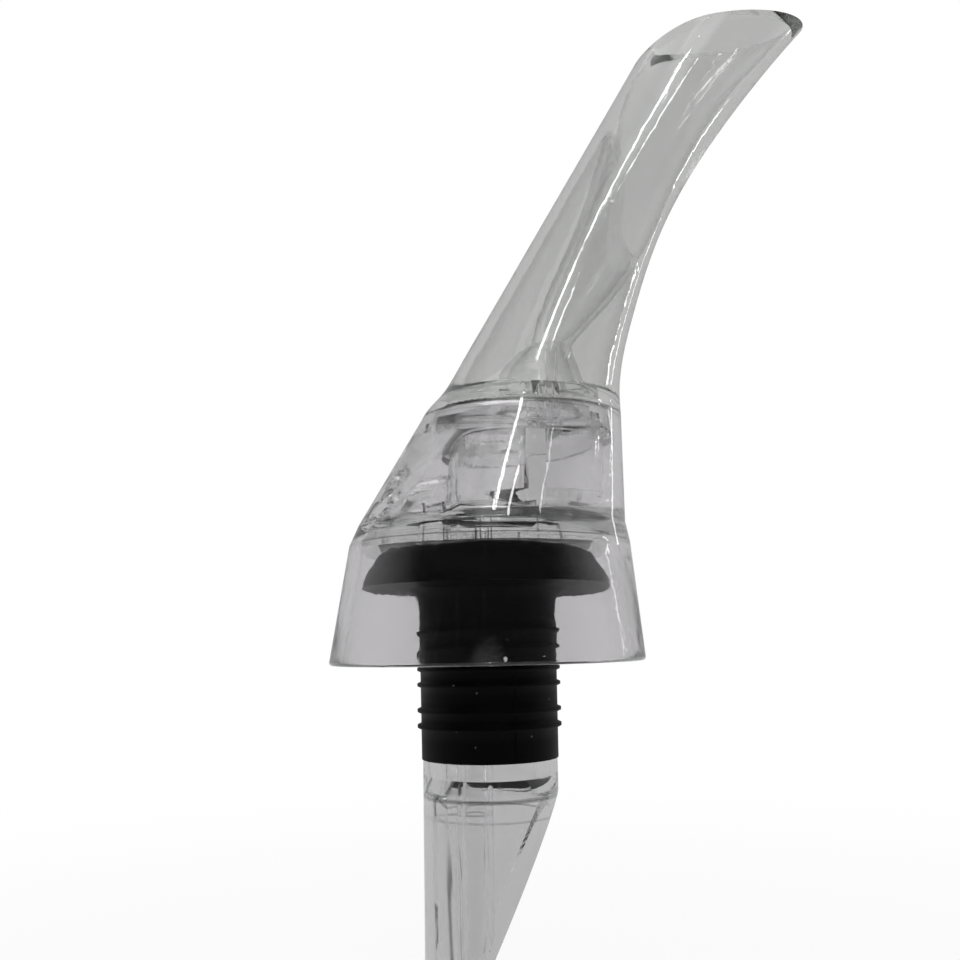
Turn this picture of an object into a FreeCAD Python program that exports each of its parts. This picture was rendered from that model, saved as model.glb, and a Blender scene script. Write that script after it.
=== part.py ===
import FreeCAD, Part
import Sketcher
import os

from FreeCAD import Rotation, Vector

# Wine pourer: a clear beak on a clear bell-shaped housing, with a mixing cup inside,
# a clear tube that reaches into the bottle, and a ribbed rubber stopper.
# Frame: Z = 0 is the underside of the stopper's flange, which seats on the bottle's lip,
# on the stopper's axis. +Z is up, +X is the side of the pouring lip.
# The part is symmetric about the XZ plane. Lengths are in millimetres, angles in degrees.

DRIVING_SIZES = {
    # Stopper
    "flange_thickness": 5.0,
    "flange_radius": 17.5,
    "flange_top_radius": 14.9,
    "flange_edge": 0.8,
    "flange_round": 1.7,
    "stopper_length": 23.2,
    "stopper_radius": 9.6,
    "stopper_end_radius": 9.4,
    "stopper_root": 2.2,
    "rib_radius": 9.95,
    "rib_tip": 0.4,
    "rib_base": 1.0,
    "rib_first": 5.6,
    "rib_spacing": 2.1,
    "rib_pitch": 5.55,
    "rib_pairs": 3,
    # Wine tube with its disc
    "disc_thickness": 3.0,
    "disc_radius": 17.6,
    "key_length": 5.7,
    "key_shift": 3.05,
    "key_reach": 15.2,
    "key_thickness": 1.4,
    "key_height": 2.1,
    "neck_radius": 7.5,
    "neck_bore": 6.3,
    "foot_radius": 9.25,
    "foot_wall": 1.25,
    "foot_cone": 2.4,
    "foot_length": 48.0,
    "bevel_angle": 25.6,
    "bevel_start": 4.0,
    "air_tube_shift": -2.2,
    "air_tube_radius": 2.9,
    "air_tube_end_radius": 2.1,
    "air_bore": 1.3,
    "air_tube_web": 1.2,
    # Housing
    "housing_wall": 1.5,
    "rim_round": 0.45,
    "rim_drop": 10.4,
    "rim_shift": -0.15,
    "rim_radius": 21.95,
    "skirt_top_drop": 2.1,
    "skirt_top_shift": 0.5,
    "skirt_top_radius": 19.8,
    "corner_rise": 0.7,
    "corner_shift": 0.85,
    "corner_radius": 18.9,
    "seam_level": 24.0,
    "seam_shift": 5.45,
    "seam_radius": 14.4,
    "disc_clearance": 0.05,
    "disc_ledge": 0.6,
    # Air intake through the slanted back of the housing
    "intake_level": 14.6,
    "intake_bore": 1.65,
    "intake_mouth": 2.3,
    "intake_mouth_depth": 1.1,
    "duct_wall": 0.85,
    # Mixing cup
    "cup_radius": 11.2,
    "cup_wall": 1.1,
    "cup_clearance": 0.1,
    "cup_top": 26.5,
    "cup_floor": 3.2,
    "cup_floor_thickness": 1.2,
    "cup_inlet_radius": 3.4,
    "cup_inlet_shift": 6.6,
    "divider_thickness": 2.2,
    "divider_shift": 1.05,
    "divider_gap": 2.0,
    "jet_radius": 0.95,
    "jet_bore": 0.5,
    "jet_height": 7.4,
    "jet_arm": 2.0,
    # Plug of the beak, which fits in the top of the housing
    "plug_depth": 4.0,
    "plug_wall": 1.3,
    "plug_clearance": 0.05,
    # Beak
    "lean": 30.2,
    "back_shift": -5.34,
    "beak_wall": 1.9,
    "funnel_wall": 1.3,
    "pocket_top": 68.0,
    "throat_level": 34.8,
    "throat_shift": 10.1,
    "throat_radius": 1.6,
    "dome_shift": 8.0,
    "dome_radius": 5.5,
    # Mouth, cut across the top of the beak
    "mouth_rise": 5.0,
    "mouth_reach": 35.5,
    "mouth_level": 84.2,
    "mouth_round": 20.0,
}

# Sections across the beak: height, outermost X on the front, half width.
# The back of each section lies on the straight line that leans by "lean".
BEAK_SECTIONS = {
    "root": (28.6, 19.9, 12.2),
    "lower": (33.0, 20.6, 11.1),
    "low": (39.0, 22.25, 10.0),
    "middle": (50.0, 26.1, 8.6),
    "upper": (62.0, 32.4, 7.6),
    "high": (74.0, 41.0, 7.0),
    "crown": (90.0, 55.0, 6.5),
}

# Sections of the collar between the seam and the beak: height, back X, front X, half width.
COLLAR_SECTIONS = {
    "flare": (26.2, -7.3, 19.8, 13.5),
}

# Sections of the wine's way through the beak: height, back X, front X, half width.
CHANNEL_SECTIONS = {
    "low": (42.0, 10.75, 18.2, 3.6),
    "middle": (50.0, 14.3, 23.9, 4.8),
    "upper": (58.0, 17.5, 28.2, 5.3),
    "high": (70.0, 21.4, 35.4, 5.3),
    "peak": (80.0, 26.4, 43.4, 4.9),
    "crown": (90.0, 32.2, 51.6, 4.7),
}

# Sections of the dome that narrows to the throat: height, centre X, radius.
DOME_SECTIONS = {
    "lower": (30.0, 8.3, 4.6),
    "upper": (33.0, 9.0, 3.1),
}

doc = FreeCAD.newDocument("wine_pourer")
sheet = doc.addObject("Spreadsheet::Sheet", "Sizes")


def write_sizes():
    """Write every driving size to the sheet, each cell with its alias."""
    sizes = dict(DRIVING_SIZES)
    for name, (level, front, side) in BEAK_SECTIONS.items():
        sizes[f"beak_{name}_level"] = level
        sizes[f"beak_{name}_front"] = front
        sizes[f"beak_{name}_side"] = side
    for table, sections in (("collar", COLLAR_SECTIONS), ("channel", CHANNEL_SECTIONS)):
        for name, (level, back, front, side) in sections.items():
            sizes[f"{table}_{name}_level"] = level
            sizes[f"{table}_{name}_back"] = back
            sizes[f"{table}_{name}_front"] = front
            sizes[f"{table}_{name}_side"] = side
    for name, (level, shift, radius) in DOME_SECTIONS.items():
        sizes[f"dome_{name}_level"] = level
        sizes[f"dome_{name}_shift"] = shift
        sizes[f"dome_{name}_radius"] = radius
    for row, (alias, value) in enumerate(sizes.items(), start=1):
        sheet.set(f"A{row}", alias)
        sheet.set(f"B{row}", str(value))
        sheet.setAlias(f"B{row}", alias)
    doc.recompute()


write_sizes()


def named(expression):
    """Return the expression with every alias written as a reference to the sheet."""
    words = []
    word = ""
    for letter in expression + " ":
        if letter.isalnum() or letter in "_.":
            word += letter
            continue
        known = word in sheet_aliases
        words.append(f"Sizes.{word}" if known else word)
        words.append(letter)
        word = ""
    return "".join(words).strip()


sheet_aliases = {sheet.getAlias(cell) for cell in sheet.getUsedCells()} - {None}


def measure(expression):
    """Return the value of an expression in the sheet's sizes."""
    result = sheet.evalExpression(expression)
    return float(getattr(result, "Value", result))


def bind(thing, **expressions):
    """Bind properties of an object to expressions in the sheet's sizes."""
    for prop, expression in expressions.items():
        thing.setExpression(prop, named(expression))
    return thing


def place(thing, across="0", side="0", up="0"):
    """Bind the position of an object to expressions in the sheet's sizes."""
    thing.setExpression(".Placement.Base.x", named(across))
    thing.setExpression(".Placement.Base.y", named(side))
    thing.setExpression(".Placement.Base.z", named(up))
    return thing


def cylinder(name, radius, height, up, across="0"):
    rod = doc.addObject("Part::Cylinder", name)
    bind(rod, Radius=radius, Height=height)
    return place(rod, across, "0", up)


def cone(name, low_radius, high_radius, height, up, across="0"):
    taper = doc.addObject("Part::Cone", name)
    bind(taper, Radius1=low_radius, Radius2=high_radius, Height=height)
    return place(taper, across, "0", up)


def box(name, length, width, height, across, up):
    """A box centred on the XZ plane, whose low corner lies at the given X and Z."""
    block = doc.addObject("Part::Box", name)
    bind(block, Length=length, Width=width, Height=height)
    return place(block, across, f"-({width}) / 2", up)


def turn(thing, angle):
    """Turn an object about the Y direction by an angle bound to the sheet."""
    thing.Placement.Rotation = Rotation(Vector(0, 1, 0), measure(angle))
    thing.setExpression(".Placement.Rotation.Angle", named(angle))
    return thing


def section(name, level, back, front, side):
    """A level ellipse from its back to its front, with its half width across."""
    depth = f"({front} - ({back})) / 2"
    ring = doc.addObject("Part::Ellipse", name)
    ring.MajorRadius = max(measure(depth), measure(side))
    ring.MinorRadius = min(measure(depth), measure(side))
    bind(ring, MajorRadius=f"max({depth}; {side})", MinorRadius=f"min({depth}; {side})")
    ring.setExpression(".Placement.Rotation.Angle",
                       named(f"{depth} + 0.001 >= {side} ? 0 : 90"))
    return place(ring, f"({front} + {back}) / 2", "0", level)


def round_section(name, level, shift, radius):
    """A level circle whose centre is shifted along X."""
    ring = doc.addObject("Part::Circle", name)
    bind(ring, Radius=radius)
    return place(ring, shift, "0", level)


def loft(name, sections, ruled=False):
    skin = doc.addObject("Part::Loft", name)
    skin.Sections = sections
    skin.Solid = True
    skin.Ruled = ruled
    skin.MaxDegree = 3
    return skin


def fuse(name, *shapes):
    union = doc.addObject("Part::MultiFuse", name)
    union.Shapes = list(shapes)
    return union


def cut(name, base, tool):
    rest = doc.addObject("Part::Cut", name)
    rest.Base = base
    rest.Tool = tool
    return rest


def common(name, base, tool):
    shared = doc.addObject("Part::Common", name)
    shared.Base = base
    shared.Tool = tool
    return shared


def polygon_sketch(body, name, corners):
    """A closed polygon on the body's XZ plane, with each corner bound to the sheet."""
    plane = next(f for f in body.Origin.OriginFeatures if f.Role == "XZ_Plane")
    sketch = body.newObject("Sketcher::SketchObject", name)
    sketch.AttachmentSupport = [(plane, "")]
    sketch.MapMode = "FlatFace"
    points = [Vector(measure(x), measure(z), 0) for x, z in corners]
    for start, end in zip(points, points[1:] + points[:1]):
        sketch.addGeometry(Part.LineSegment(start, end), False)
    count = len(points)
    for side in range(count):
        sketch.addConstraint(Sketcher.Constraint("Coincident", side, 2, (side + 1) % count, 1))
    for side, (x, z) in enumerate(corners):
        for kind, expression in (("DistanceX", x), ("DistanceY", z)):
            value = measure(expression)
            index = sketch.addConstraint(Sketcher.Constraint(kind, -1, 1, side, 1, value))
            sketch.renameConstraint(index, f"{kind}{side}")
            sketch.setExpression(f"Constraints.{kind}{side}", named(expression))
    return sketch


def round_edges(body, name, base, radius, picked):
    """A fillet in a body on the edges of its last feature that the test picks."""
    doc.recompute()
    edges = [f"Edge{i}" for i, edge in enumerate(base.Shape.Edges, start=1) if picked(edge)]
    fillet = body.newObject("PartDesign::Fillet", name)
    fillet.Base = (base, edges)
    bind(fillet, Radius=radius)
    return fillet


def rounded(name, base, radius, picked):
    """A fillet on the edges of a shape that the test picks."""
    doc.recompute()
    size = measure(radius)
    fillet = doc.addObject("Part::Fillet", name)
    fillet.Base = base
    fillet.Edges = [(i, size, size) for i, edge in enumerate(base.Shape.Edges, start=1)
                    if picked(edge)]
    return fillet


def is_circle_at(edge, radius, level):
    """Whether an edge is a circle of this radius at this height."""
    curve = edge.Curve
    return (
        isinstance(curve, Part.Circle)
        and abs(curve.Radius - radius) < 0.01
        and abs(curve.Center.z - level) < 0.01
    )


def make_stopper():
    """The rubber stopper: a conical flange, a tapered plug and pairs of sealing ribs."""
    body = doc.addObject("PartDesign::Body", "Stopper")
    profile = polygon_sketch(body, "StopperProfile", [
        ("neck_radius", "flange_thickness"),
        ("flange_top_radius", "flange_thickness"),
        ("flange_radius", "flange_edge"),
        ("flange_radius", "0"),
        ("stopper_radius", "0"),
        ("stopper_end_radius", "-stopper_length"),
        ("neck_radius", "-stopper_length"),
    ])
    turned = body.newObject("PartDesign::Revolution", "StopperTurned")
    turned.Profile = profile
    turned.ReferenceAxis = (profile, ["V_Axis"])
    turned.Angle = 360
    root = round_edges(
        body, "StopperRoot", turned, "stopper_root",
        lambda edge: is_circle_at(edge, measure("stopper_radius"), 0),
    )
    top = round_edges(
        body, "FlangeEdge", root, "flange_round",
        lambda edge: is_circle_at(edge, measure("flange_top_radius"), measure("flange_thickness")),
    )
    half_base = "rib_base / 2"
    half_tip = "rib_tip / 2"
    corners = []
    for level in ("-rib_first", "-(rib_first + rib_spacing)"):
        corners.append([
            ("neck_radius + 1", f"{level} + {half_base}"),
            ("stopper_end_radius - 0.1", f"{level} + {half_base}"),
            ("rib_radius", f"{level} + {half_tip}"),
            ("rib_radius", f"{level} - {half_tip}"),
            ("stopper_end_radius - 0.1", f"{level} - {half_base}"),
            ("neck_radius + 1", f"{level} - {half_base}"),
        ])
    ribs = []
    for name, outline in zip(("UpperRib", "LowerRib"), corners):
        outline_sketch = polygon_sketch(body, f"{name}Profile", outline)
        rib = body.newObject("PartDesign::Revolution", name)
        rib.Profile = outline_sketch
        rib.ReferenceAxis = (outline_sketch, ["V_Axis"])
        rib.Angle = 360
        doc.recompute()
        ribs.append(rib)
    pattern = body.newObject("PartDesign::LinearPattern", "RibPairs")
    pattern.Originals = ribs
    pattern.Direction = (ribs[0].Profile[0], ["V_Axis"])
    pattern.Reversed = True
    bind(pattern, Length="rib_pitch * (rib_pairs - 1)", Occurrences="rib_pairs")
    body.Tip = pattern
    return body


def make_wine_tube():
    """The disc with its two keys and, moulded with it, the tube and its air tube."""
    top = "flange_thickness + disc_thickness"
    foot_top = "-stopper_length"
    foot_end = "-(stopper_length + foot_length)"
    whole = f"{top} + stopper_length + foot_length"
    foot_bore = "foot_radius - foot_wall"
    outside = fuse(
        "WineTubeOutside",
        cylinder("Disc", "disc_radius", "disc_thickness", "flange_thickness"),
        cylinder("Neck", "neck_radius", "stopper_length + flange_thickness + disc_thickness / 2",
                 foot_top),
        cylinder("Foot", "foot_radius", "foot_length", foot_end),
    )
    inside = fuse(
        "WineTubeInside",
        cylinder("NeckBore", "neck_bore", f"{top} + stopper_length + foot_cone + 1",
                 f"{foot_top} - foot_cone - 0.5"),
        cone("FootBoreEnd", foot_bore, "neck_bore", "foot_cone", f"{foot_top} - 2 * foot_cone"),
        cylinder("FootBore", foot_bore, "foot_length", f"{foot_end} - 2 * foot_cone"),
    )
    shell = cut("WineTubeShell", outside, inside)
    air_tube = cone("AirTube", "air_tube_end_radius", "air_tube_radius", whole, foot_end,
                    "air_tube_shift")
    neck_web = box("NeckWeb", "neck_bore + air_tube_shift + 0.5", "air_tube_web",
                   f"{top} + stopper_length", "-neck_bore - 0.5", foot_top)
    foot_web = box("FootWeb", "foot_radius - foot_wall + air_tube_shift + 0.5", "air_tube_web",
                   "foot_length", "-foot_radius + foot_wall - 0.5", foot_end)
    key_start = "key_shift - key_length / 2"
    keys = cut(
        "Keys",
        box("KeysOutside", "key_length", "2 * key_reach", "key_height + disc_thickness / 2",
            key_start, f"{top} - disc_thickness / 2"),
        box("KeysInside", "key_length", "2 * (key_reach - key_thickness)",
            "key_height + disc_thickness / 2", key_start, f"{top} - disc_thickness / 2"),
    )
    walls = fuse("WineTubeWalls", shell, air_tube, neck_web, foot_web, keys)
    air_way = cylinder("AirWay", "air_bore", f"{whole} + 2", f"{foot_end} - 1", "air_tube_shift")
    bevel = box("Bevel", "4 * foot_radius", "4 * foot_radius", "2 * foot_length",
                "foot_radius - 2 * foot_length * sin(bevel_angle)",
                "-(stopper_length + bevel_start) - 2 * foot_length * cos(bevel_angle)")
    turn(bevel, "bevel_angle")
    return cut("WineTube", walls, fuse("WineTubeCuts", air_way, bevel))


def make_housing():
    """The bell: a skirt over the bottle's neck below a slanted body with the air intake."""
    skirt_top = "flange_thickness + disc_thickness - skirt_top_drop"
    corner = "flange_thickness + disc_thickness + corner_rise"
    ledge = "flange_thickness + disc_thickness"
    outside = loft("HousingOutside", [
        round_section("RimOutside", "-rim_drop", "rim_shift", "rim_radius"),
        round_section("SkirtTopOutside", skirt_top, "skirt_top_shift", "skirt_top_radius"),
        round_section("CornerOutside", corner, "corner_shift", "corner_radius"),
        round_section("SeamOutside", "seam_level", "seam_shift", "seam_radius"),
    ], ruled=True)
    skirt = loft("SkirtInside", [
        round_section("RimInside", "-rim_drop - 0.01", "rim_shift", "rim_radius - housing_wall"),
        round_section("SeatInside", "flange_thickness", "0", "disc_radius + disc_clearance"),
    ], ruled=True)
    seat = cylinder("DiscSeat", "disc_radius + disc_clearance", "disc_thickness",
                    "flange_thickness")
    socket = "cup_radius + cup_clearance + plug_wall + plug_clearance"
    chamber = loft("ChamberInside", [
        round_section("LedgeInside", ledge, "0.7 * corner_shift", "disc_radius - disc_ledge"),
        round_section("SocketInside", "seam_level - plug_depth", "seam_shift", socket),
    ], ruled=True)
    plug_socket = cylinder("PlugSocket", socket, "plug_depth + 1", "seam_level - plug_depth",
                           "seam_shift")
    hollow = fuse("HousingHollow", skirt, seat, chamber, plug_socket)
    shell = rounded("RimRounded", cut("HousingShell", outside, hollow), "rim_round",
                    lambda edge: edge.BoundBox.ZMax < 0.01 - measure("rim_drop"))
    duct_reach = "seam_shift + 2 * seam_radius"
    duct_start = "seam_shift - 2 * seam_radius"
    duct = level_rod("IntakeDuct", "intake_bore + duct_wall", duct_reach, duct_start)
    middle = loft("WallMiddle", [
        round_section("CornerMiddle", corner, "corner_shift", "corner_radius - housing_wall / 2"),
        round_section("SeamMiddle", "seam_level", "seam_shift", "seam_radius - housing_wall / 2"),
    ], ruled=True)
    inner_duct = common("IntakeDuctInside", duct, middle)
    bore = level_rod("IntakeBore", "intake_bore", duct_reach, duct_start)
    cup_room = cylinder("CupRoom", "cup_radius + cup_clearance", "2 * seam_level", "0",
                        "seam_shift")
    walls = fuse("HousingWalls", shell, inner_duct)
    slant = f"(corner_radius - corner_shift + seam_shift - seam_radius) / (seam_level - ({corner}))"
    face = f"corner_shift - corner_radius + (intake_level - ({corner})) * {slant}"
    mouth = doc.addObject("Part::Cone", "IntakeMouth")
    flare = "(intake_mouth - intake_bore)"
    bind(mouth, Radius1=f"intake_mouth + {flare}", Radius2="intake_bore",
         Height="2 * intake_mouth_depth")
    mouth.Placement.Rotation = Rotation(Vector(0, 1, 0), 90)
    place(mouth, f"{face} - intake_mouth_depth", "0", "intake_level")
    return cut("Housing", walls, fuse("HousingCuts", bore, mouth, cup_room))


def level_rod(name, radius, length, start):
    """A cylinder along X at the height of the air intake."""
    rod = doc.addObject("Part::Cylinder", name)
    bind(rod, Radius=radius, Height=length)
    rod.Placement.Rotation = Rotation(Vector(0, 1, 0), 90)
    return place(rod, start, "0", "intake_level")


def make_mixing_cup():
    """The cup between disc and beak: a wine side, an air side and the jet at the throat."""
    foot = "flange_thickness + disc_thickness"
    height = f"cup_top - ({foot})"
    outside = cylinder("CupOutside", "cup_radius", height, foot, "seam_shift")
    below = cylinder("CupBelow", "cup_radius - cup_wall", "cup_floor", foot, "seam_shift")
    floor_top = f"{foot} + cup_floor + cup_floor_thickness"
    above = cylinder("CupAbove", "cup_radius - cup_wall",
                     f"cup_top - cup_floor_thickness - ({floor_top})", floor_top, "seam_shift")
    lid_hole = cylinder("CupLidHole", "dome_radius", "2 * cup_floor_thickness + 1",
                        "cup_top - cup_floor_thickness - 0.5", "dome_shift")
    inlet = cylinder("CupInlet", "cup_inlet_radius", "cup_floor_thickness + 1",
                     f"{foot} + cup_floor - 0.5", "seam_shift + cup_inlet_shift")
    hollow = fuse("CupHollow", below, above, lid_hole, inlet)
    shell = cut("CupShell", outside, hollow)
    divider = box("CupDivider", "divider_thickness", "2 * (cup_radius - cup_wall / 2)",
                  f"cup_top - divider_gap - ({floor_top})", "seam_shift + divider_shift - "
                  "divider_thickness / 2", floor_top)
    jet_shift = "throat_shift"
    jet = cylinder("Jet", "jet_radius", "jet_height + divider_gap", "cup_top - divider_gap",
                   jet_shift)
    arm = box("JetArm", f"{jet_shift} - (seam_shift + divider_shift)", "2 * jet_radius",
              "jet_arm", "seam_shift + divider_shift", "cup_top - divider_gap - jet_arm")
    base = cylinder("JetBase", "jet_radius", "jet_arm", "cup_top - divider_gap - jet_arm",
                    jet_shift)
    walls = fuse("CupWalls", shell, divider, jet, base, arm)
    jet_way = cylinder("JetWay", "jet_bore", "jet_height + divider_gap + jet_arm / 2 + 1",
                       "cup_top - divider_gap - jet_arm / 2", jet_shift)
    arm_way = doc.addObject("Part::Cylinder", "ArmWay")
    bind(arm_way, Radius="jet_bore", Height=f"{jet_shift} - seam_shift")
    arm_way.Placement.Rotation = Rotation(Vector(0, 1, 0), 90)
    place(arm_way, "seam_shift", "0", "cup_top - divider_gap - jet_arm / 2")
    air_inlet = level_rod("CupAirInlet", "intake_bore", "cup_radius",
                          "seam_shift - 1.5 * cup_radius")
    return cut("MixingCup", walls, fuse("CupCuts", jet_way, arm_way, air_inlet))


def beak_back(level):
    """The X of the beak's straight back at a height."""
    return f"back_shift + ({level} - beak_root_level) * tan(lean)"


def make_spout():
    """The beak: its collar and plug, the channel with its throat, and the slanted mouth."""
    def beak_skin(name, inset, last_level=None):
        rings = []
        if inset == "0":
            rings.append(section(f"{name}Seam", "seam_level", "seam_shift - seam_radius",
                                 "seam_shift + seam_radius", "seam_radius"))
        for station in COLLAR_SECTIONS:
            size = f"collar_{station}"
            rings.append(section(f"{name}{station.title()}", f"{size}_level",
                                 f"{size}_back + {inset}", f"{size}_front - {inset}",
                                 f"{size}_side - {inset}"))
        for station in BEAK_SECTIONS:
            size = f"beak_{station}"
            rings.append(section(f"{name}{station.title()}", f"{size}_level",
                                 f"{beak_back(size + '_level')} + {inset}",
                                 f"{size}_front - {inset}", f"{size}_side - {inset}"))
        return loft(name, rings)

    def channel_skin(name, growth):
        rings = [round_section(f"{name}Throat", "throat_level", "throat_shift",
                               f"throat_radius + {growth}")]
        for station in CHANNEL_SECTIONS:
            size = f"channel_{station}"
            rings.append(section(f"{name}{station.title()}", f"{size}_level",
                                 f"{size}_back - {growth}", f"{size}_front + {growth}",
                                 f"{size}_side + {growth}"))
        return loft(name, rings)

    def dome_skin(name, growth):
        rings = [round_section(f"{name}Foot", "cup_top", "dome_shift",
                               f"dome_radius + {growth}")]
        for station in DOME_SECTIONS:
            size = f"dome_{station}"
            rings.append(round_section(f"{name}{station.title()}", f"{size}_level",
                                       f"{size}_shift", f"{size}_radius + {growth}"))
        rings.append(round_section(f"{name}Throat", "throat_level", "throat_shift",
                                   f"throat_radius + {growth}"))
        return loft(name, rings)

    plug_radius = "cup_radius + cup_clearance + plug_wall"
    plug = cylinder("Plug", plug_radius, "plug_depth + 0.5", "seam_level - plug_depth",
                    "seam_shift")
    outside = fuse("SpoutOutside", beak_skin("BeakOutside", "0"), plug)
    recess = cylinder("SpoutRecess", "cup_radius + cup_clearance",
                      "cup_top - seam_level + plug_depth + 1", "seam_level - plug_depth - 1",
                      "seam_shift")
    pocket_room = box("PocketRoom", "8 * seam_radius", "4 * seam_radius", "pocket_top - cup_top",
                      "seam_shift - 4 * seam_radius", "cup_top")
    pocket_skin = common("PocketSkin", beak_skin("BeakInside", "beak_wall"), pocket_room)
    funnel = fuse("FunnelOutside", channel_skin("ChannelOutside", "funnel_wall"),
                  dome_skin("DomeOutside", "funnel_wall"))
    pocket = cut("Pocket", pocket_skin, funnel)
    channel = fuse("Channel", channel_skin("ChannelInside", "0"), dome_skin("DomeInside", "0"))
    hollowed = cut("SpoutHollowed", outside, fuse("SpoutCuts", recess, pocket, channel))
    return common("Spout", hollowed, make_mouth_room())


def make_mouth_room():
    """The room that the slanted mouth leaves to the beak, rounded down to its back."""
    size = "2 * mouth_level"
    across = f"mouth_reach - mouth_round * cos(mouth_rise) + {size} * sin(mouth_rise)"
    up = f"mouth_level - mouth_round * sin(mouth_rise) - {size} * cos(mouth_rise)"
    block = turn(box("MouthBlock", size, size, size, across, up), "-mouth_rise")
    doc.recompute()
    highest = back_top_edge(block)
    slope = rounded("MouthRounded", block, "mouth_round", highest.isSame)
    below = box("MouthBelow", f"2 * {size}", size, f"{size} - mouth_round / 2",
                f"-({size})", "-mouth_level")
    return fuse("MouthRoom", slope, below)


def back_top_edge(block):
    """The block's edge that is highest on its back side."""
    def score(edge):
        middle = edge.CenterOfMass
        return middle.z - middle.x
    return max(block.Shape.Edges, key=score)


def export(pieces):
    """Check the document and write each piece to its own file."""
    doc.recompute()
    for thing in doc.Objects:
        troubles = {"Invalid", "Error"} & set(thing.State)
        if troubles:
            raise RuntimeError(f"{thing.Label} is {', '.join(troubles)}")
    os.makedirs("parts", exist_ok=True)
    for node, piece in pieces.items():
        piece.Label = node
        shape = piece.Shape
        if shape.isNull() or not shape.isValid():
            raise RuntimeError(f"{node} has no valid shape")
        print(f"{node}: {len(shape.Solids)} solid, volume {shape.Volume:.1f}")
        shape.exportStep(f"parts/{node}.step")


export({
    "stopper": make_stopper(),
    "wine_tube": make_wine_tube(),
    "housing": make_housing(),
    "mixing_cup": make_mixing_cup(),
    "spout": make_spout(),
})
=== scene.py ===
"""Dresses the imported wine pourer: clear moulded plastic, black rubber, and a plain white studio."""

import logging
import math
from dataclasses import dataclass
from enum import Enum

import bmesh
import bpy
from mathutils import Matrix, Vector


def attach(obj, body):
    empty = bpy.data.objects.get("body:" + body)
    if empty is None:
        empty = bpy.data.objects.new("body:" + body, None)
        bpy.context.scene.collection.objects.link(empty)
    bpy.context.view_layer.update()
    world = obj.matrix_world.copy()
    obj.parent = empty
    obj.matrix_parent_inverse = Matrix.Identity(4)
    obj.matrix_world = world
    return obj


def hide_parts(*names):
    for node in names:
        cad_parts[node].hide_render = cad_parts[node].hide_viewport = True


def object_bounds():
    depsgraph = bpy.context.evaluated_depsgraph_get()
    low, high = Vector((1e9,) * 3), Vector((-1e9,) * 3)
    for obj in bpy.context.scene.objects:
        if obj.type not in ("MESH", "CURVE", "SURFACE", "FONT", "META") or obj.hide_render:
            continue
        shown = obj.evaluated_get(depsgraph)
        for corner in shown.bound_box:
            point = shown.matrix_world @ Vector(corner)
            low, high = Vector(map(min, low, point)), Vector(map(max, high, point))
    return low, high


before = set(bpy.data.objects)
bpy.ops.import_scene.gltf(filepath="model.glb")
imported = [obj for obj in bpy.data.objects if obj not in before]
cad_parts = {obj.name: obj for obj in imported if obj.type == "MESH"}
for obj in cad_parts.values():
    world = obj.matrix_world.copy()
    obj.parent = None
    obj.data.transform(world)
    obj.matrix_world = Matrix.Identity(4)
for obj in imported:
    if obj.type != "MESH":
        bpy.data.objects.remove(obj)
CAD_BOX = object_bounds()

LOG = logging.getLogger("wine_pourer")
LIGHT_BOUNCES = 32

# Lengths are in metres and the angle is in degrees.
MM = 0.001
WELD_DISTANCE = 2e-7
CENTRE_RADIUS = 1e-6
DETAIL_SHARP = 40.0

Triple = tuple[float, float, float]
Span = tuple[float, float]
Socket = bpy.types.NodeSocket


class Clarity(Enum):
    """How much of the light each plastic's nearest wall lets through, in red, green and blue."""

    SMOKY = (0.470, 0.466, 0.474)
    SMOKY_GREEN = (0.490, 0.495, 0.488)
    SMOKY_ROSE = (0.510, 0.498, 0.512)


class Easing(Enum):
    """The course of a ramp between its two ends."""

    EVEN = "LINEAR"
    SOFT = "SMOOTHSTEP"
    SOFTEST = "SMOOTHERSTEP"


class Sum(Enum):
    """The sums that the finishes work out with two values."""

    ADD = "ADD"
    MULTIPLY = "MULTIPLY"
    DIVIDE = "DIVIDE"
    POWER = "POWER"
    LARGER = "MAXIMUM"
    BELOW = "LESS_THAN"
    ABOVE = "GREATER_THAN"


@dataclass(frozen=True)
class Camera:
    """The photograph's viewpoint: place and sensor in millimetres, angles in degrees."""

    place: Triple = (-3.9, -142.5, -7.3)
    yaw: float = 1.30
    pitch: float = 9.05
    roll: float = 1.13
    sensor: float = 36.0
    focal_pixels: float = 1004.9
    frame_pixels: float = 960.0
    nearest: float = 5.0
    farthest: float = 20000.0

    def build(self) -> bpy.types.Object:
        """Make the camera and set it as the scene's own.

        Returns:
            The camera object.
        """
        yaw, pitch, roll = (math.radians(angle) for angle in (self.yaw, self.pitch, self.roll))
        ahead = Vector((math.sin(yaw) * math.cos(pitch), math.cos(yaw) * math.cos(pitch), math.sin(pitch)))
        level = Vector((math.cos(yaw), -math.sin(yaw), 0.0))
        above = level.cross(ahead)
        right = level * math.cos(roll) - above * math.sin(roll)
        up = level * math.sin(roll) + above * math.cos(roll)
        turned = Matrix((right, up, -ahead)).transposed().to_4x4()
        data = bpy.data.cameras.new("camera")
        data.sensor_width = self.sensor
        data.lens = self.focal_pixels / self.frame_pixels * self.sensor
        data.clip_start = self.nearest * MM
        data.clip_end = self.farthest * MM
        camera = bpy.data.objects.new("camera", data)
        camera.matrix_world = Matrix.Translation(Vector(self.place) * MM) @ turned
        bpy.context.scene.collection.objects.link(camera)
        bpy.context.scene.camera = camera
        return camera


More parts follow.
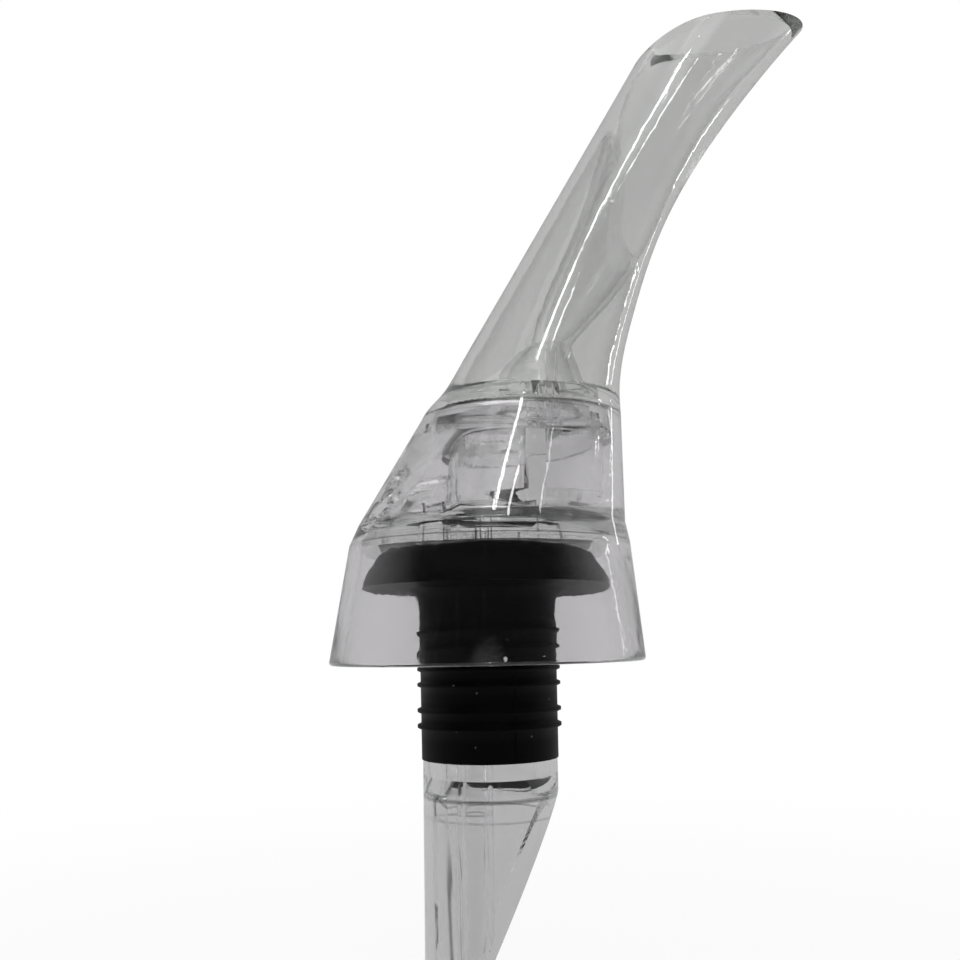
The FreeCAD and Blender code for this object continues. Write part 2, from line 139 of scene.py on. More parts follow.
@dataclass(frozen=True)
class Softbox:
    """One studio lamp, placed by its direction from the part.

    Azimuth 0 is the camera's side and 90 the side of the pouring lip, in degrees. Lengths are in metres.
    """

    name: str
    azimuth: float
    elevation: float
    distance: float
    size: Span
    power: float
    centre: Triple = (0.0, 0.0, 0.04)

    def build(self) -> bpy.types.Object:
        """Make the lamp.

        Returns:
            The lamp object.
        """
        data = bpy.data.lights.new(self.name, "AREA")
        data.shape = "RECTANGLE"
        data.size, data.size_y = self.size
        data.energy = self.power
        turn, rise = math.radians(self.azimuth), math.radians(self.elevation)
        away = Vector((math.sin(turn) * math.cos(rise), -math.cos(turn) * math.cos(rise), math.sin(rise)))
        lamp = bpy.data.objects.new(self.name, data)
        lamp.location = Vector(self.centre) + away * self.distance
        lamp.rotation_euler = (-away).to_track_quat("-Z", "Y").to_euler()
        lamp.visible_camera = False
        bpy.context.scene.collection.objects.link(lamp)
        return lamp


class Nodes:
    """A small helper that places and joins shader nodes in one tree."""

    def __init__(self, tree: bpy.types.NodeTree) -> None:
        """Keep the tree and start it empty."""
        self.tree = tree
        tree.nodes.clear()

    def add(self, kind: str, **settings: object) -> bpy.types.Node:
        """Add a node and set its own properties.

        Args:
            kind: Blender's name of the node type, without the ShaderNode at its start.
            settings: Properties of the node.

        Returns:
            The new node.
        """
        node = self.tree.nodes.new(f"ShaderNode{kind}")
        for name, value in settings.items():
            setattr(node, name, value)
        return node

    def join(self, source: Socket, target: Socket) -> None:
        """Link an output to an input."""
        self.tree.links.new(source, target)

    def feed(self, value: Socket | float, target: Socket) -> None:
        """Give an input its value.

        Args:
            value: A socket to link, or a number to set.
            target: The input.
        """
        if isinstance(value, float):
            target.default_value = value
        else:
            self.join(value, target)

    def add_group(self, tree: bpy.types.NodeTree, values: dict[str, float]) -> bpy.types.Node:
        """Place a shader group.

        Args:
            tree: The group.
            values: Its inputs' values, where they differ from the group's own.

        Returns:
            The new node.
        """
        node = self.add("Group", node_tree=tree)
        for name, value in values.items():
            node.inputs[name].default_value = value
        return node

    def work_out(self, operation: Sum, first: Socket | float, second: Socket | float) -> Socket:
        """Work out a sum of two values.

        Args:
            operation: The sum.
            first: A socket or a number.
            second: A socket or a number.

        Returns:
            The result's socket.
        """
        node = self.add("Math", operation=operation.value)
        self.feed(first, node.inputs[0])
        self.feed(second, node.inputs[1])
        return node.outputs[0]

    def ramp(self, source: Socket, takes: Span = (0.0, 1.0), gives: Span = (0.0, 1.0),
             easing: Easing = Easing.EVEN) -> Socket:
        """Turn one range of values into another and hold it at its ends.

        Args:
            source: The value to turn.
            takes: The range that it comes in.
            gives: The range that it leaves in.
            easing: The course between the ends.

        Returns:
            The turned value's socket.
        """
        node = self.add("MapRange", interpolation_type=easing.value)
        for name, value in zip(("From Min", "From Max", "To Min", "To Max"), (*takes, *gives)):
            node.inputs[name].default_value = value
        self.join(source, node.inputs["Value"])
        return node.outputs["Result"]

    def tinted(self, share: Socket, base: Socket | Triple, tint: Triple) -> Socket:
        """Blend a colour into another.

        Args:
            share: How much of the tint shows, from 0 to 1.
            base: The colour below, as a socket or a value.
            tint: The colour above.

        Returns:
            The blended colour's socket.
        """
        blend = self.add("Mix", data_type="RGBA")
        below, above = (socket for socket in blend.inputs if socket.type == "RGBA")
        self.join(share, blend.inputs["Factor"])
        if isinstance(base, tuple):
            below.default_value = (*base, 1)
        else:
            self.join(base, below)
        above.default_value = (*tint, 1)
        return next(socket for socket in blend.outputs if socket.type == "RGBA")

    def along(self, axis: str, place: Socket) -> Socket:
        """Read one part of a place or a direction.

        Args:
            axis: The part's axis.
            place: A socket that gives the place or the direction.

        Returns:
            The part's socket.
        """
        parts = self.add("SeparateXYZ")
        self.join(place, parts.inputs[0])
        return parts.outputs[axis]


@dataclass(frozen=True)
class Room:
    """How brightly each kind of ray sees the white room, from 0 to 1.

    A ray that the plastic mirrors sees the room dark at the front and white at the back, as if the
    light behind the viewer were dim, which gives the walls their dark and light lines. The front and
    the back are marked along Y, from -1 to 1. A ray that comes out of a wall sees at least the
    two brightnesses for one mirroring and for more, and one that only the outer skin mirrors sees
    its share of the room.
    """

    marks: Span = (-0.6, 0.05)
    front_and_back: Span = (0.03, 1.0)
    once_and_more: Span = (0.15, 1.0)
    outer_skin: float = 0.45
    not_mirrored: float = 0.5

    def seen(self, nodes: Nodes, direction: Socket, ambient: float) -> Socket:
        """Work out how brightly a ray sees the room.

        Args:
            nodes: The tree of the floor or of the surround.
            direction: The direction that the ray looks in.
            ambient: The strength of the room as a light, from 0 to 1.

        Returns:
            The output socket: 1 for camera rays and for rays that pass straight through the plastic.
        """
        path = nodes.add("LightPath")
        room = nodes.ramp(nodes.along("Y", direction), self.marks, self.front_and_back, Easing.SOFT)
        straight = nodes.work_out(Sum.BELOW, path.outputs["Glossy Depth"], self.not_mirrored)
        view = nodes.work_out(Sum.LARGER, room, straight)
        shares = {"Transmission Depth": (self.outer_skin, 1.0), "Diffuse Depth": (1.0, ambient)}
        for count, gives in shares.items():
            view = nodes.work_out(Sum.MULTIPLY, view, nodes.ramp(path.outputs[count], gives=gives))
        mirrored, through = path.outputs["Is Glossy Ray"], path.outputs["Is Transmission Ray"]
        least = nodes.ramp(path.outputs["Glossy Depth"], (1.0, 2.0), self.once_and_more)
        view = nodes.work_out(Sum.LARGER, view, nodes.work_out(Sum.MULTIPLY, through, least))
        seen = nodes.work_out(Sum.MULTIPLY, nodes.work_out(Sum.LARGER, mirrored, through), view)
        scattered = nodes.work_out(Sum.MULTIPLY, path.outputs["Is Diffuse Ray"], ambient)
        seen = nodes.work_out(Sum.LARGER, seen, scattered)
        return nodes.work_out(Sum.LARGER, seen, path.outputs["Is Camera Ray"])


@dataclass(frozen=True)
class Studio:
    """The white room: a pale floor under the part, an even surround and soft lamps.

    The floor fades from paper that takes a shadow to plain white. Lengths are in metres, and the angle
    of the ceiling's glow is in degrees.
    """

    room: Room = Room()
    floor_reach: float = 3.0
    floor_panels: int = 8
    paper: Triple = (0.88, 0.88, 0.88)
    fade_reach: Span = (0.05, 0.30)
    fade_share: Span = (0.92, 1.0)
    ambient: float = 0.30
    glow: float = 1.4
    glow_rise: float = 47.0
    glow_edge: float = 0.955
    lamps: tuple[Softbox, ...] = (
        Softbox("ceiling_lamp", azimuth=0.0, elevation=43.5, distance=0.80, size=(0.032, 0.13), power=0.28),
        Softbox("second_lamp", azimuth=14.0, elevation=36.0, distance=0.80, size=(0.022, 0.05), power=0.06),
        Softbox("third_lamp", azimuth=42.0, elevation=30.0, distance=0.80, size=(0.015, 0.05), power=0.02),
        Softbox("side_lamp", azimuth=122.0, elevation=12.0, distance=0.80, size=(0.03, 0.14), power=0.06),
        Softbox("overhead", azimuth=0.0, elevation=80.0, distance=1.2, size=(1.2, 1.2), power=3.6),
    )

    def build(self) -> None:
        """Make the floor, the surround and the lamps."""
        self.build_floor()
        self.build_surround()
        for lamp in self.lamps:
            lamp.build()

    def build_floor(self) -> None:
        """Make the floor that the part stands on."""
        work = bmesh.new()
        panels = self.floor_panels
        bmesh.ops.create_grid(work, x_segments=panels, y_segments=panels, size=self.floor_reach)
        bmesh.ops.translate(work, verts=work.verts, vec=(0, 0, CAD_BOX[0].z))
        mesh = bpy.data.meshes.new("floor")
        work.to_mesh(mesh)
        work.free()
        floor = bpy.data.objects.new("floor", mesh)
        bpy.context.scene.collection.objects.link(floor)
        floor.data.materials.append(self.floor_paper())

    def floor_paper(self) -> bpy.types.Material:
        """Make the floor's paper, which fades into the white surround away from the part.

        Returns:
            The material.
        """
        material = bpy.data.materials.new("floor_paper")
        material.use_nodes = True
        nodes = Nodes(material.node_tree)
        paper = nodes.add("BsdfDiffuse")
        paper.inputs["Color"].default_value = (*self.paper, 1)
        white = nodes.add("Emission")
        white.inputs["Strength"].default_value = 1.0
        place = nodes.add("TexCoord")
        distance = nodes.add("VectorMath", operation="LENGTH")
        nodes.join(place.outputs["Object"], distance.inputs[0])
        fade = nodes.ramp(distance.outputs["Value"], self.fade_reach, self.fade_share, Easing.SOFT)
        side = nodes.add("VectorMath", operation="NORMALIZE")
        nodes.join(place.outputs["Object"], side.inputs[0])
        share = nodes.work_out(Sum.MULTIPLY, fade, self.room.seen(nodes, side.outputs[0], 0.0))
        blend = nodes.add("MixShader")
        nodes.join(share, blend.inputs["Fac"])
        nodes.join(paper.outputs[0], blend.inputs[1])
        nodes.join(white.outputs[0], blend.inputs[2])
        nodes.join(blend.outputs[0], nodes.add("OutputMaterial").inputs["Surface"])
        return material

    def build_surround(self) -> None:
        """Make the world: white to the camera and through the plastic, and dimmer as a light."""
        world = bpy.data.worlds.new("surround")
        world.use_nodes = True
        bpy.context.scene.world = world
        nodes = Nodes(world.node_tree)
        direction = nodes.add("TexCoord").outputs["Generated"]
        glow = nodes.add("VectorMath", operation="DOT_PRODUCT")
        nodes.join(direction, glow.inputs[0])
        rise = math.radians(self.glow_rise)
        glow.inputs[1].default_value = (0.0, -math.cos(rise), math.sin(rise))
        patch = nodes.ramp(glow.outputs["Value"], (self.glow_edge, 1.0), (0.0, self.glow), Easing.SOFTEST)
        path = nodes.add("LightPath")
        mirrored = nodes.work_out(Sum.MULTIPLY, path.outputs["Is Glossy Ray"], patch)
        seen = self.room.seen(nodes, direction, self.ambient)
        sky = nodes.add("Background")
        sky.inputs["Color"].default_value = (1, 1, 1, 1)
        nodes.join(nodes.work_out(Sum.LARGER, seen, mirrored), sky.inputs["Strength"])
        nodes.join(sky.outputs[0], nodes.add("OutputWorld").inputs["Surface"])


@dataclass(frozen=True)
class Effects:
    """The shader groups that the finishes share, each built once.

    A scratch direction is a turn in radians with three scales, and the scratch edge is the range of
    the noise that a scratch fades in over.
    """

    wave_detail: float = 1.0
    ripple_detail: float = 2.0
    scratch_ways: tuple[tuple[float, Triple], ...] = (
        (0.5, (260.0, 900.0, 34.0)), (-0.9, (900.0, 300.0, 46.0)))
    scratch_tilt: float = 0.4
    scratch_edge: Span = (0.72, 0.80)

    def group(self, name: str, takes: dict[str, float],
              gives: tuple[str, ...]) -> tuple[Nodes, bpy.types.Node]:
        """Start a shader group of numbers.

        Args:
            name: The group's name.
            takes: Its inputs with their values.
            gives: Its outputs.

        Returns:
            The helper for its nodes, and the node that gives its inputs.
        """
        tree = bpy.data.node_groups.new(name, "ShaderNodeTree")
        for socket, value in takes.items():
            made = tree.interface.new_socket(socket, in_out="INPUT", socket_type="NodeSocketFloat")
            made.default_value = value
        for socket in gives:
            tree.interface.new_socket(socket, in_out="OUTPUT", socket_type="NodeSocketFloat")
        return Nodes(tree), tree.nodes.new("NodeGroupInput")

    def finish_group(self, nodes: Nodes, results: dict[str, Socket]) -> bpy.types.NodeTree:
        """Join a group's results to its outputs.

        Args:
            nodes: The helper for the group's nodes.
            results: Each output's name with its value's socket.

        Returns:
            The group.
        """
        end = nodes.tree.nodes.new("NodeGroupOutput")
        for name, result in results.items():
            nodes.join(result, end.inputs[name])
        return nodes.tree

    def moulded_surface(self) -> bpy.types.NodeTree:
        """The slow waviness and the fine ripple of a moulded surface, as a height in metres.

        Returns:
            The group.
        """
        if "moulded_surface" in bpy.data.node_groups:
            return bpy.data.node_groups["moulded_surface"]
        takes = {"Wave Size": 0.006, "Wave Height": 2e-5, "Ripple Size": 0.0009, "Ripple Height": 4e-7}
        nodes, given = self.group("moulded_surface", takes, ("Height",))
        place = nodes.add("TexCoord")
        heights = []
        for kind, detail in (("Wave", self.wave_detail), ("Ripple", self.ripple_detail)):
            noise = nodes.add("TexNoise")
            noise.inputs["Detail"].default_value = detail
            nodes.join(place.outputs["Object"], noise.inputs["Vector"])
            scale = nodes.work_out(Sum.DIVIDE, 1.0, given.outputs[f"{kind} Size"])
            nodes.join(scale, noise.inputs["Scale"])
            height = given.outputs[f"{kind} Height"]
            heights.append(nodes.work_out(Sum.MULTIPLY, noise.outputs["Fac"], height))
        return self.finish_group(nodes, {"Height": nodes.work_out(Sum.ADD, *heights)})

    def handling_marks(self) -> bpy.types.NodeTree:
        """Fine scratches and dust specks, each as a mask from 0 to 1.

        Returns:
            The group.
        """
        if "handling_marks" in bpy.data.node_groups:
            return bpy.data.node_groups["handling_marks"]
        takes = {"Scratch Share": 0.5, "Speck Size": 0.0016, "Speck Share": 0.07}
        nodes, given = self.group("handling_marks", takes, ("Scratches", "Specks"))
        place = nodes.add("TexCoord")
        lines = []
        for turn, scale in self.scratch_ways:
            way = nodes.add("Mapping")
            way.inputs["Rotation"].default_value = (turn, self.scratch_tilt * turn, turn)
            way.inputs["Scale"].default_value = scale
            nodes.join(place.outputs["Object"], way.inputs["Vector"])
            noise = nodes.add("TexNoise")
            noise.inputs["Scale"].default_value = 1.0
            noise.inputs["Detail"].default_value = 0.0
            nodes.join(way.outputs["Vector"], noise.inputs["Vector"])
            lines.append(nodes.ramp(noise.outputs["Fac"], self.scratch_edge, easing=Easing.SOFT))
        both = nodes.work_out(Sum.LARGER, *lines)
        scratches = nodes.work_out(Sum.MULTIPLY, both, given.outputs["Scratch Share"])
        cells = nodes.add("TexVoronoi")
        nodes.join(place.outputs["Object"], cells.inputs["Vector"])
        nodes.join(nodes.work_out(Sum.DIVIDE, 1.0, given.outputs["Speck Size"]), cells.inputs["Scale"])
        specks = nodes.work_out(Sum.BELOW, cells.outputs["Distance"], given.outputs["Speck Share"])
        return self.finish_group(nodes, {"Scratches": scratches, "Specks": specks})

    def fine_line(self, axis: str) -> bpy.types.NodeTree:
        """A fine straight line across the part, such as a seam or a notch, as a mask from 0 to 1.

        Args:
            axis: The axis that the line's place is measured along.

        Returns:
            The group.
        """
        name = f"fine_line_{axis.lower()}"
        if name in bpy.data.node_groups:
            return bpy.data.node_groups[name]
        nodes, given = self.group(name, {"Place": 0.0, "Width": 0.0002, "Low": -1.0}, ("Line",))
        place = nodes.add("TexCoord")
        near = nodes.add("Math", operation="COMPARE")
        nodes.join(nodes.along(axis, place.outputs["Object"]), near.inputs[0])
        nodes.join(given.outputs["Place"], near.inputs[1])
        nodes.join(nodes.work_out(Sum.MULTIPLY, given.outputs["Width"], 0.5), near.inputs[2])
        height = nodes.along("Z", place.outputs["Object"])
        above = nodes.work_out(Sum.ABOVE, height, given.outputs["Low"])
        return self.finish_group(nodes, {"Line": nodes.work_out(Sum.MULTIPLY, near.outputs[0], above)})


@dataclass(frozen=True)
class ClearPlastic:
    """Clear moulded plastic with a faint smoky tone, which the wall nearest to the eye gives.

    The lines are its seams and mould lines, each with its height and width in millimetres. The
    uprights are the places along X of the notches in the disc's rim, in millimetres, which start at
    upright_low. The wave, ripple and scratch heights are in metres. The edge shade is painted shade:
    a darker tint laid along each wall's outline where the wall turns away from the eye, and a higher
    sharpness keeps it nearer to the outline.
    """

    name: str
    clarity: Clarity
    lines: tuple[Span, ...] = ()
    uprights: tuple[float, ...] = ()
    upright_low: float = 5.0
    wave_height: float = 2.0e-5
    ripple_height: float = 2.0e-6
    scratch_height: float = -2.0e-6
    scratch_share: float = 0.6
    outer_shade_sharpness: float = 7.0
    inner_shade_sharpness: float = 3.2
    inner_shade_share: float = 0.30
    outer_walls: float = 1.5
    inner_tint: Triple = (0.995, 0.995, 0.995)
    painted_edge_shade_tint: Triple = (0.16, 0.165, 0.16)
    line_tint: Triple = (0.20, 0.20, 0.20)
    speck_tint: Triple = (0.9, 0.9, 0.9)
    speck_share: float = 0.35
    haze: Span = (0.02, 0.16)
    refraction: float = 1.49
    density: float = 9.0
    absorbed: Triple = (0.45, 0.52, 0.45)

    def build(self) -> bpy.types.Material:
        """Make the material.

        Returns:
            The material.
        """
        material = bpy.data.materials.new(self.name)
        material.use_nodes = True
        nodes = Nodes(material.node_tree)
        marks = nodes.add_group(Effects().handling_marks(), {"Scratch Share": self.scratch_share})
        path = nodes.add("LightPath")
        plastic = nodes.add("BsdfPrincipled")
        nodes.join(self.colour(nodes, path, marks), plastic.inputs["Base Color"])
        nodes.join(nodes.ramp(marks.outputs["Scratches"], gives=self.haze), plastic.inputs["Roughness"])
        plastic.inputs["IOR"].default_value = self.refraction
        plastic.inputs["Transmission Weight"].default_value = 1.0
        nodes.join(self.relief(nodes, marks), plastic.inputs["Normal"])
        passing = nodes.add("BsdfTransparent")
        passing.inputs["Color"].default_value = (*self.clarity.value, 1)
        blend = nodes.add("MixShader")
        nodes.join(path.outputs["Is Shadow Ray"], blend.inputs["Fac"])
        nodes.join(plastic.outputs[0], blend.inputs[1])
        nodes.join(passing.outputs[0], blend.inputs[2])
        inside = nodes.add("VolumeAbsorption")
        inside.inputs["Color"].default_value = (*self.absorbed, 1)
        inside.inputs["Density"].default_value = self.density
        output = nodes.add("OutputMaterial")
        nodes.join(blend.outputs[0], output.inputs["Surface"])
        nodes.join(inside.outputs[0], output.inputs["Volume"])
        return material

    def colour(self, nodes: Nodes, path: bpy.types.Node, marks: bpy.types.Node) -> Socket:
        """Work out the tone of a wall, with painted shade along its outline, and its seams, notches and
        specks.

        Args:
            nodes: The material's tree.
            path: Its Light Path node.
            marks: Its handling marks.

        Returns:
            The colour's socket.
        """
        effects = Effects()
        outside = nodes.work_out(Sum.BELOW, path.outputs["Transmission Depth"], self.outer_walls)
        tone = nodes.tinted(outside, self.inner_tint, self.clarity.value)
        # Painted shade: the base colour darkens towards each wall's outline, where the wall turns away from
        # the eye.
        facing = nodes.add("LayerWeight")
        facing.inputs["Blend"].default_value = 0.5
        sharpness = nodes.ramp(outside, gives=(self.inner_shade_sharpness, self.outer_shade_sharpness))
        outline = nodes.work_out(Sum.POWER, facing.outputs["Facing"], sharpness)
        share = nodes.ramp(outside, gives=(self.inner_shade_share, 1.0))
        colour = nodes.tinted(nodes.work_out(Sum.MULTIPLY, outline, share), tone, self.painted_edge_shade_tint)
        for level, width in self.lines:
            line = nodes.add_group(effects.fine_line("Z"), {"Place": level * MM, "Width": width * MM})
            colour = nodes.tinted(line.outputs["Line"], colour, self.line_tint)
        low = self.upright_low * MM
        for place in self.uprights:
            line = nodes.add_group(effects.fine_line("X"), {"Place": place * MM, "Low": low})
            colour = nodes.tinted(line.outputs["Line"], colour, self.line_tint)
        specks = nodes.work_out(Sum.MULTIPLY, marks.outputs["Specks"], self.speck_share)
        return nodes.tinted(specks, colour, self.speck_tint)

    def relief(self, nodes: Nodes, marks: bpy.types.Node) -> Socket:
        """Turn the waviness and the scratches into a bumped normal.

        Args:
            nodes: The material's tree.
            marks: Its handling marks.

        Returns:
            The normal's socket.
        """
        heights = {"Wave Height": self.wave_height, "Ripple Height": self.ripple_height}
        surface = nodes.add_group(Effects().moulded_surface(), heights)
        depth = nodes.add("Math", operation="MULTIPLY_ADD")
        nodes.join(marks.outputs["Scratches"], depth.inputs[0])
        depth.inputs[1].default_value = self.scratch_height
        nodes.join(surface.outputs["Height"], depth.inputs[2])
        bump = nodes.add("Bump")
        bump.inputs["Distance"].default_value = 1.0
        nodes.join(depth.outputs[0], bump.inputs["Height"])
        return bump.outputs["Normal"]


@dataclass(frozen=True)
class Rubber:
    """Black moulded rubber with a satin skin, fine grain and a few pale specks. Sizes are in metres."""

    name: str = "stopper_black_rubber"
    black: Triple = (0.0010, 0.0010, 0.0014)
    dusty: Triple = (0.004, 0.004, 0.005)
    speck: Triple = (0.10, 0.10, 0.10)
    speck_size: float = 0.0028
    speck_share: float = 0.05
    cloud_scale: float = 160.0
    dust_edge: Span = (0.5, 0.75)
    dust_share: float = 0.4
    roughness: Span = (0.42, 0.60)
    gloss: float = 0.09
    wave_size: float = 0.004
    wave_height: float = 3e-5
    grain_size: float = 0.0002
    grain_height: float = 4e-6

    def build(self) -> bpy.types.Material:
        """Make the material.

        Returns:
            The material.
        """
        material = bpy.data.materials.new(self.name)
        material.use_nodes = True
        nodes = Nodes(material.node_tree)
        effects = Effects()
        marks = nodes.add_group(effects.handling_marks(), {
            "Scratch Share": 1.0, "Speck Size": self.speck_size, "Speck Share": self.speck_share})
        cloud = nodes.add("TexNoise")
        cloud.inputs["Scale"].default_value = self.cloud_scale
        nodes.join(nodes.add("TexCoord").outputs["Object"], cloud.inputs["Vector"])
        dust = nodes.ramp(cloud.outputs["Fac"], self.dust_edge, (0.0, self.dust_share), Easing.SOFT)
        colour = nodes.tinted(dust, self.black, self.dusty)
        skin = nodes.add("BsdfPrincipled")
        nodes.join(nodes.tinted(marks.outputs["Specks"], colour, self.speck), skin.inputs["Base Color"])
        nodes.join(nodes.ramp(cloud.outputs["Fac"], gives=self.roughness), skin.inputs["Roughness"])
        skin.inputs["Specular IOR Level"].default_value = self.gloss
        surface = nodes.add_group(effects.moulded_surface(), {
            "Wave Size": self.wave_size, "Wave Height": self.wave_height,
            "Ripple Size": self.grain_size, "Ripple Height": self.grain_height})
        bump = nodes.add("Bump")
        bump.inputs["Distance"].default_value = 1.0
        nodes.join(surface.outputs["Height"], bump.inputs["Height"])
        nodes.join(bump.outputs["Normal"], skin.inputs["Normal"])
        nodes.join(skin.outputs[0], nodes.add("OutputMaterial").inputs["Surface"])
        return material


@dataclass
class Moulding:
    """One moulded piece of the pourer, which stands for its CAD node with smooth surfaces.

    The sharp angle is in degrees and the air gap in metres. The gap keeps touching faces of two
    pieces from lying in one plane.
    """

    node: str
    slot: str
    sharp: float = 22.0
    air_gap: float = 2e-5

    def finish(self) -> ClearPlastic | Rubber:
        """The finish of the piece, which each moulding gives."""
        raise NotImplementedError(self.node)

    def build(self) -> list[bpy.types.Object]:
        """Build the piece and dress it.

        Returns:
            The pieces made.
        """
        material = self.finish().build()
        pieces = [self.build_body(), *self.build_details()]
        for piece in pieces:
            piece.data.materials.append(material)
            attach(piece, "root")
            LOG.info("%s: %d faces", piece.name, len(piece.data.polygons))
        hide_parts(self.node)
        return pieces

    def build_body(self) -> bpy.types.Object:
        """Join and smooth a copy of the CAD node, drawn in by the air gap.

        Returns:
            The new piece.
        """
        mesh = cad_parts[self.node].data.copy()
        work = bmesh.new()
        work.from_mesh(mesh)
        bmesh.ops.remove_doubles(work, verts=work.verts, dist=WELD_DISTANCE)
        work.normal_update()
        work.to_mesh(mesh)
        work.free()
        mesh.shade_smooth()
        mesh.set_sharp_from_angle(angle=math.radians(self.sharp))
        mesh.materials.clear()
        piece = bpy.data.objects.new(f"{self.node}_body", mesh)
        mesh.name = piece.name
        bpy.context.scene.collection.objects.link(piece)
        gap = piece.modifiers.new("air_gap", "DISPLACE")
        gap.strength = -self.air_gap
        gap.mid_level = 0.0
        return piece

    def build_details(self) -> list[bpy.types.Object]:
        """Make the piece's smaller moulded details.

        Returns:
            The pieces made, none for a plain moulding.
        """
        return []


@dataclass
class Beak(Moulding):
    """The pouring beak and the two lines of its seat. Heights and widths of lines are in millimetres."""

    node: str = "spout"
    slot: str = "beak_clear"
    seat_lines: tuple[Span, ...] = ((24.05, 0.16), (26.25, 0.12))
    wave_height: float = 4.0e-5
    ripple_height: float = 6.0e-6
    # Painted shade along the outlines of the beak's inner walls: how sharp it is and how much of it shows.
    edge_shade_sharpness: float = 1.6
    edge_shade_share: float = 1.0

    def finish(self) -> ClearPlastic:
        """The beak's clear plastic, which is a little wavier than the rest."""
        return ClearPlastic("clear_beak", Clarity.SMOKY_GREEN, lines=self.seat_lines,
                            wave_height=self.wave_height, ripple_height=self.ripple_height,
                            inner_shade_sharpness=self.edge_shade_sharpness, inner_shade_share=self.edge_shade_share)


@dataclass
class Bell(Moulding):
    """The bell-shaped housing and its mould lines. Heights and widths of lines are in millimetres."""

    node: str = "housing"
    slot: str = "housing_clear"
    mould_lines: tuple[Span, ...] = ((5.9, 0.14), (8.7, 0.16), (23.9, 0.20))
    ripple_height: float = 7.0e-6
    # How much of the painted outline shade shows on the housing's inner walls.
    edge_shade_share: float = 0.45

    def finish(self) -> ClearPlastic:
        """The housing's clear plastic, with a rosy tone and a fine ripple."""
        return ClearPlastic("clear_housing", Clarity.SMOKY_ROSE, lines=self.mould_lines,
                            ripple_height=self.ripple_height, inner_shade_share=self.edge_shade_share)


@dataclass
class MixingCup(Moulding):
    """The open cup inside the housing, where the air meets the wine."""

    node: str = "mixing_cup"
    slot: str = "cup_clear"

    def finish(self) -> ClearPlastic:
        """The cup's clear plastic."""
        return ClearPlastic("clear_cup", Clarity.SMOKY)


@dataclass
class WineTube(Moulding):
    """The disc, the tube and the fine ribs that centre the disc. Sizes are in millimetres.

    The axes are the places along X of the wine tube's and the air tube's middles. A face counts as
    round about an axis where it lies squarer to it than the squareness, a cosine.
    """

    node: str = "wine_tube"
    slot: str = "tube_clear"
    ring_lines: tuple[Span, ...] = ((-28.0, 0.45), (-30.6, 0.10))
    notches: tuple[float, ...] = (-8.0, -5.5, -1.1, 0.2, 5.9)
    rib_places: tuple[float, ...] = (-8.0, -5.5, -1.1)
    rib_width: float = 0.45
    rib_depth: float = 0.9
    rib_low: float = 8.06
    rib_high: float = 10.1
    rib_reach: float = 14.6
    rib_rounding: float = 0.08
    axes: tuple[float, ...] = (0.0, -2.2)
    squareness: float = 0.985

    def finish(self) -> ClearPlastic:
        """The tube's clear plastic, with the ring lines below the stopper and the disc's notches."""
        return ClearPlastic("clear_tube", Clarity.SMOKY, lines=self.ring_lines, uprights=self.notches)

    def build_body(self) -> bpy.types.Object:
        """Join and smooth the CAD node, with the tubes' shading turned square to their axes.

        Returns:
            The new piece.
        """
        piece = super().build_body()
        mesh = piece.data
        normals = [corner.vector.copy() for corner in mesh.corner_normals]
        for face in mesh.polygons:
            for axis in self.axes:
                away = face.center - Vector((axis * MM, 0, face.center.z))
                if away.length > CENTRE_RADIUS and abs(face.normal.dot(away.normalized())) > self.squareness:
                    side = math.copysign(1.0, face.normal.dot(away))
                    for corner in face.loop_indices:
                        spot = mesh.vertices[mesh.loops[corner].vertex_index].co
                        normals[corner] = side * (spot - Vector((axis * MM, 0, spot.z))).normalized()
                    break
        mesh.normals_split_custom_set(normals)
        return piece

    def build_details(self) -> list[bpy.types.Object]:
        """Make the ribs that stand on the disc, in front and behind.

        Returns:
            The pieces made.
        """
        work = bmesh.new()
        size = (self.rib_width, self.rib_depth, self.rib_high - self.rib_low)
        for across in self.rib_places:
            away = math.sqrt(self.rib_reach ** 2 - across ** 2)
            for side in (-1, 1):
                middle = (across, side * away, (self.rib_high + self.rib_low) / 2)
                add_block(work, size, middle, self.rib_rounding)
        return [finished_piece(work, "disc_ribs")]


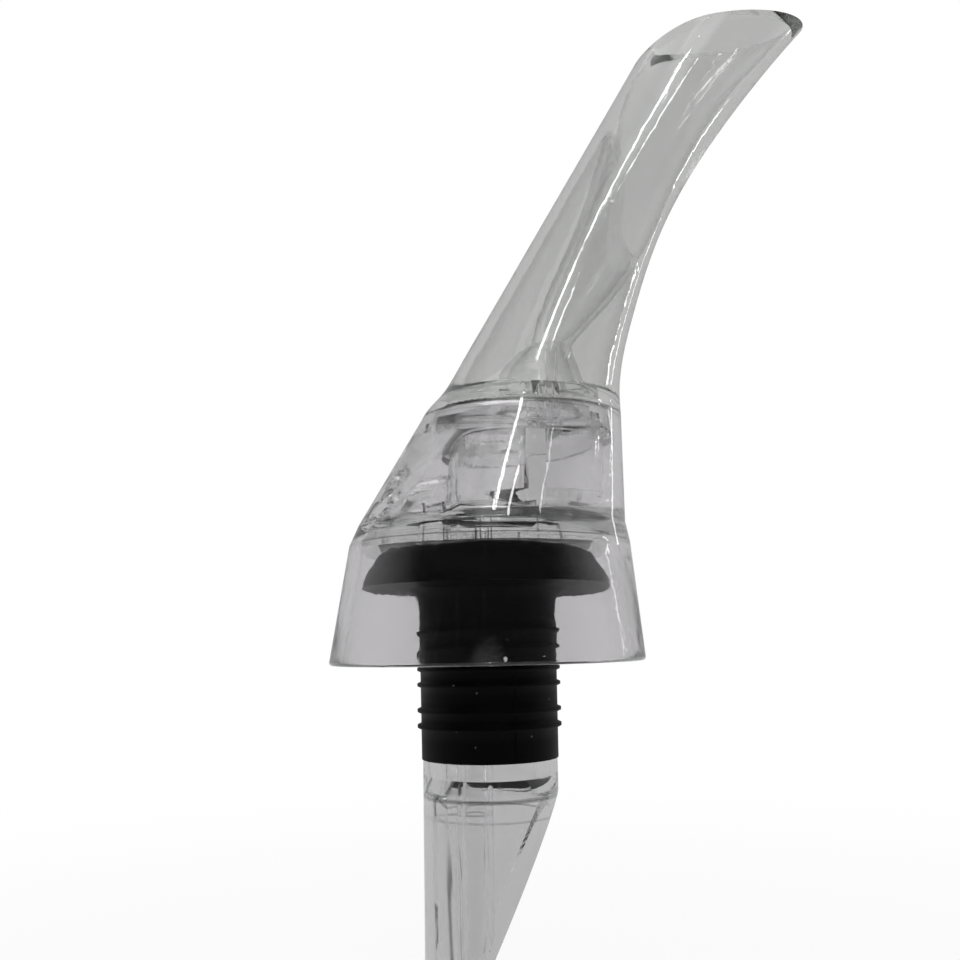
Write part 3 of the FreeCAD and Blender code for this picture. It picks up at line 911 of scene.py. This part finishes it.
@dataclass
class Stopper(Moulding):
    """The rubber stopper with its mould line. Sizes are in millimetres."""

    node: str = "stopper"
    slot: str = "stopper_rubber"
    sharp: float = 30.0
    line_place: float = 3.2
    line_radius: float = 9.38
    line_width: float = 0.16
    line_depth: float = 0.3
    line_low: float = -22.6
    line_high: float = -3.2
    line_rounding: float = 0.06

    def finish(self) -> Rubber:
        """The stopper's black rubber."""
        return Rubber()

    def build_details(self) -> list[bpy.types.Object]:
        """Make the mould line down the plug, in front and behind.

        Returns:
            The pieces made.
        """
        work = bmesh.new()
        size = (self.line_width, self.line_depth, self.line_high - self.line_low)
        away = math.sqrt(self.line_radius ** 2 - self.line_place ** 2)
        for side in (-1, 1):
            middle = (-side * self.line_place, side * away, (self.line_high + self.line_low) / 2)
            add_block(work, size, middle, self.line_rounding)
        return [finished_piece(work, "stopper_mould_line")]


def add_block(work: bmesh.types.BMesh, size: Triple, middle: Triple, rounding: float) -> None:
    """Add a block with rounded edges to a mesh.

    Args:
        work: The mesh.
        size: The block's sizes in millimetres.
        middle: Its middle in millimetres.
        rounding: The radius of its edges in millimetres.
    """
    made = bmesh.ops.create_cube(work, size=MM)["verts"]
    bmesh.ops.scale(work, verts=made, vec=size)
    bmesh.ops.translate(work, verts=made, vec=Vector(middle) * MM)
    edges = list({edge for vert in made for edge in vert.link_edges})
    bmesh.ops.bevel(work, geom=edges, offset=rounding * MM, segments=2, profile=0.5,
                    affect="EDGES", material=-1)


def finished_piece(work: bmesh.types.BMesh, name: str) -> bpy.types.Object:
    """Turn a finished mesh into a smooth piece at the origin.

    Args:
        work: The mesh, which is freed.
        name: The piece's name.

    Returns:
        The new piece.
    """
    mesh = bpy.data.meshes.new(name)
    bmesh.ops.recalc_face_normals(work, faces=work.faces)
    work.to_mesh(mesh)
    work.free()
    mesh.shade_smooth()
    mesh.set_sharp_from_angle(angle=math.radians(DETAIL_SHARP))
    piece = bpy.data.objects.new(name, mesh)
    bpy.context.scene.collection.objects.link(piece)
    return piece


def main() -> None:
    """Build the studio and dress every piece of the pourer."""
    logging.basicConfig(level=logging.INFO, format="%(name)s %(message)s")
    scene = bpy.context.scene
    scene.view_settings.view_transform = "Standard"
    for kind in ("max_bounces", "transmission_bounces", "glossy_bounces"):
        setattr(scene.cycles, kind, LIGHT_BOUNCES)
    Camera().build()
    Studio().build()
    for moulding in (Beak(), Bell(), MixingCup(), WineTube(), Stopper()):
        moulding.build()


if __name__ == "__main__":
    main()
